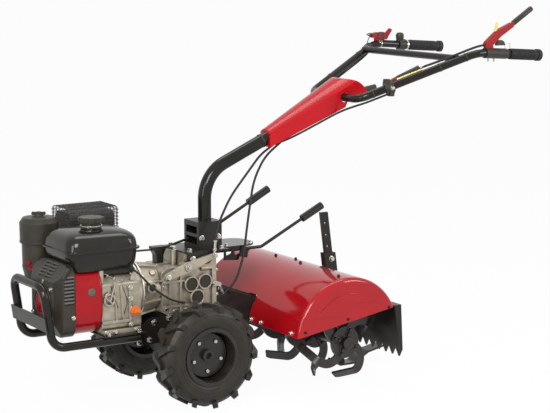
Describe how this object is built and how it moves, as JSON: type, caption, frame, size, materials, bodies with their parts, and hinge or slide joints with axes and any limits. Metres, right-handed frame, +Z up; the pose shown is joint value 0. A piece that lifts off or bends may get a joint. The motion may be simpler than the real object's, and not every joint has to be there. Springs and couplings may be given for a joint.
{
  "type": "walk-behind tractor with rotary tiller",
  "caption": "Walk-behind two-wheel tractor: petrol engine in front, lugged tyres, handlebars on one column and a hooded rotary tiller behind.",
  "frame": {"origin": "bottom centre of the overall box, on the ground", "axes": "+X forward, towards the engine and bumper; +Y to the machine's left; +Z up"},
  "size_m": [1.6844, 0.612, 1.1463],
  "materials": {
    "cast_aluminium": "cast",
    "red_paint": "gloss",
    "red_plastic": "gloss",
    "orange_plastic": "matte",
    "black_plastic": "matte",
    "black_gloss": "gloss",
    "black_steel": "satin",
    "black_casting": "satin",
    "grip_rubber": "matte",
    "tyre_rubber": "matte",
    "rim_paint": "gloss",
    "bare_steel": "satin",
    "tine_steel": "satin"
  },
  "bodies": {
    "chassis": {"air_cleaner": "black_plastic", "bell_housing": "cast_aluminium", "blower_housing": "red_paint", "bumper_frame": "black_steel", "bumper_plate": "black_steel", "clutch_arm": "cast_aluminium", "clutch_cable": "grip_rubber", "clutch_clamp": "black_plastic", "clutch_lever": "red_paint", "crankcase": "cast_aluminium", "cylinder": "cast_aluminium", "depth_bar": "black_steel", "depth_bracket": "black_steel", "drive_arm": "black_casting", "engine_bed": "black_steel", "final_drive_case": "black_casting", "fuel_cap": "black_plastic", "fuel_tank": "black_gloss", "gate_plate": "black_steel", "gear_lever": "black_steel", "gearbox_case": "cast_aluminium", "gearbox_plugs": "black_plastic", "grip_left": "grip_rubber", "grip_right": "grip_rubber", "handle_column": "black_steel", "handle_cover": "red_plastic", "handle_lock": "black_plastic", "handle_saddle": "black_steel", "handle_socket": "black_steel", "handlebar_brace": "black_steel", "handlebar_left": "black_steel", "handlebar_right": "black_steel", "hood_bracket": "black_steel", "intake": "cast_aluminium", "leveling_flap": "black_steel", "muffler": "black_steel", "muffler_guard": "black_steel", "oil_plug": "orange_plastic", "recoil_cover": "black_plastic", "reverse_lever": "black_plastic", "selector_lever": "black_steel", "shift_cable": "grip_rubber", "stop_switch": "black_plastic", "throttle_cable": "grip_rubber", "throttle_lever": "red_paint", "tiller_hood": "red_paint", "tiller_lever": "black_steel"},
    "wheel_left": {"tyre_left": "tyre_rubber", "rim_left": "rim_paint", "hub_left": "rim_paint", "axle_left": "bare_steel"},
    "wheel_right": {"tyre_right": "tyre_rubber", "rim_right": "rim_paint", "hub_right": "rim_paint", "axle_right": "bare_steel"},
    "rotor": {"tiller_rotor": "tine_steel"}
  },
  "joints": [
    {"name": "wheel_left_spin", "type": "hinge", "parent": "chassis", "child": "wheel_left", "pos_m": [0.36172, 0.204, 0.155], "axis": [0, 1, 0], "continuous": true},
    {"name": "wheel_right_spin", "type": "hinge", "parent": "chassis", "child": "wheel_right", "pos_m": [0.36172, -0.204, 0.155], "axis": [0, 1, 0], "continuous": true},
    {"name": "rotor_spin", "type": "hinge", "parent": "chassis", "child": "rotor", "pos_m": [-0.11628, 0, 0.136], "axis": [0, 1, 0], "continuous": true}
  ]
}
